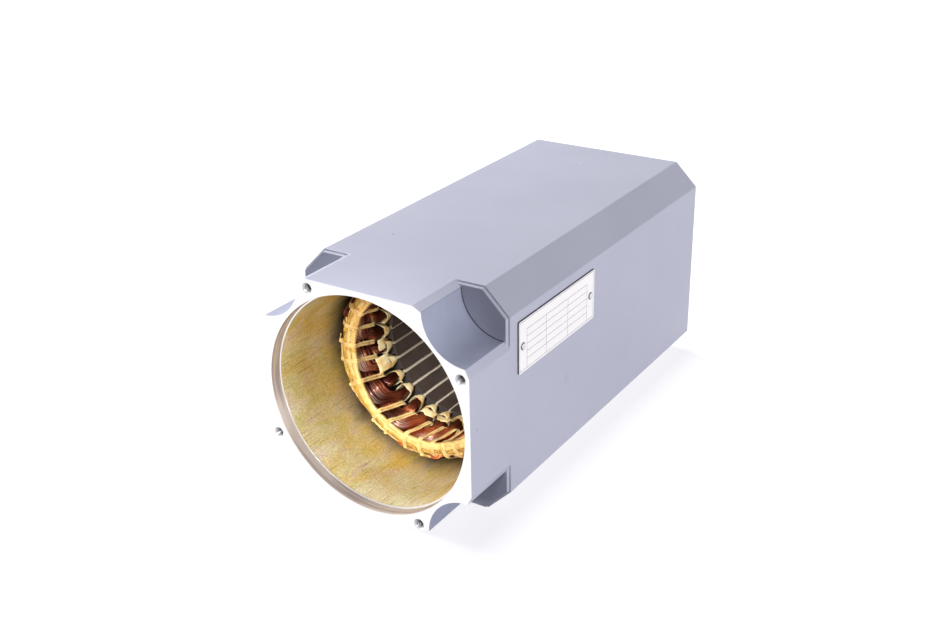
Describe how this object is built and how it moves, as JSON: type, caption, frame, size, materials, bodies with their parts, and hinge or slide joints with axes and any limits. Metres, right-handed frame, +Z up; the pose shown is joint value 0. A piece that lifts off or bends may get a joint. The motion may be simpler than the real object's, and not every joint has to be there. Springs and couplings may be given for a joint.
{
  "type": "electric motor stator",
  "caption": "Square painted motor housing with corner pockets, a slotted steel core and a laced copper winding seen in its open bore.",
  "frame": {"origin": "on the bottom flat, under the middle of the housing", "axes": "+Y along the motor axis from the drive end to the rear, +Z up, +X towards the nameplate side"},
  "size_m": [0.1558, 0.321, 0.155],
  "materials": {
    "housing_paint": "satin",
    "core_steel": "matte",
    "slot_paper": "matte",
    "slot_wedge": "matte",
    "winding_copper": "gloss",
    "lead_sleeve": "satin",
    "lacing_tape": "matte",
    "nameplate_foil": "satin"
  },
  "bodies": {
    "root": {"housing": "housing_paint", "core": "core_steel", "slot_liners": "slot_paper", "slot_wedges": "slot_wedge", "coil_01": "winding_copper", "coil_02": "winding_copper", "coil_03": "winding_copper", "coil_04": "winding_copper", "coil_05": "winding_copper", "coil_06": "winding_copper", "coil_07": "winding_copper", "coil_08": "winding_copper", "coil_09": "winding_copper", "coil_10": "winding_copper", "coil_11": "winding_copper", "coil_12": "winding_copper", "coil_13": "winding_copper", "coil_14": "winding_copper", "coil_15": "winding_copper", "front_phase_papers": "slot_paper", "rear_phase_papers": "slot_paper", "front_leads": "lead_sleeve", "rear_leads": "lead_sleeve", "front_lacing": "lacing_tape", "rear_lacing": "lacing_tape", "nameplate": "nameplate_foil"}
  },
  "joints": []
}
